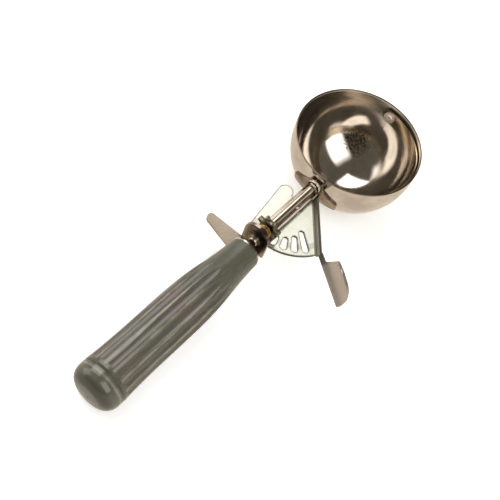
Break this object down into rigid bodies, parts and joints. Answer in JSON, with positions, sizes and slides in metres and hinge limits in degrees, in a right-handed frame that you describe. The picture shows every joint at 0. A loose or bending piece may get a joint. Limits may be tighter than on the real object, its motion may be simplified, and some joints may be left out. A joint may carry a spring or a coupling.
{
  "type": "lever ice cream scoop",
  "caption": "Lever ice cream scoop: round steel bowl, sweeping scraper blade turned by a geared thumb lever, finger rest and fluted plastic handle.",
  "frame": {"origin": "centre of the bowl's rim circle, in the plane of the mouth", "axes": "+Z points straight out of the bowl's mouth, +X along the shaft away from the handle, +Y to the finger rest's side"},
  "size_m": [0.2371, 0.09, 0.0481],
  "materials": {
    "polished_steel": "polished stainless steel",
    "satin_steel": "satin",
    "lever_steel": "bright satin",
    "dark_steel": "dull",
    "spring_brass": "drawn wire",
    "grip_plastic": "smooth moulded, slight sheen"
  },
  "bodies": {
    "frame": {"bowl": "polished_steel", "bowl_saddle": "polished_steel", "shank_bar": "polished_steel", "front_bush": "polished_steel", "frame_strap": "polished_steel", "rear_bush": "satin_steel", "return_spring": "spring_brass", "far_pivot_pin": "polished_steel", "far_pivot_washer": "satin_steel", "pivot_rivet": "satin_steel", "pivot_spacer": "satin_steel", "pivot_washer": "satin_steel", "tang_plate": "polished_steel", "frame_rivets": "satin_steel", "ferrule_plate": "satin_steel", "handle_grip": "grip_plastic", "tang_rod": "satin_steel", "tang_washer": "satin_steel", "tang_nut": "satin_steel", "end_cap": "grip_plastic"},
    "thumb_lever": {"lever": "lever_steel"},
    "scraper": {"scraper_shaft": "polished_steel", "scraper_blade": "polished_steel", "pinion": "dark_steel", "pinion_pin": "dark_steel", "shaft_end_washer": "satin_steel"}
  },
  "joints": [
    {"name": "lever_swing", "type": "hinge", "parent": "frame", "child": "thumb_lever", "pos_m": [-0.0513, 0, -0.0076], "axis": [0, 0, -1], "range_deg": [0, 42.5], "stiffness_Nm_per_rad": 0.25, "springref_deg": -34.38},
    {"name": "scraper_turn", "type": "hinge", "parent": "frame", "child": "scraper", "pos_m": [0, 0, -0.0076], "axis": [1, 0, 0], "range_deg": [0, 170]}
  ],
  "couplings": [
    {"joint": "scraper_turn", "follows": "lever_swing", "ratio": 4}
  ]
}
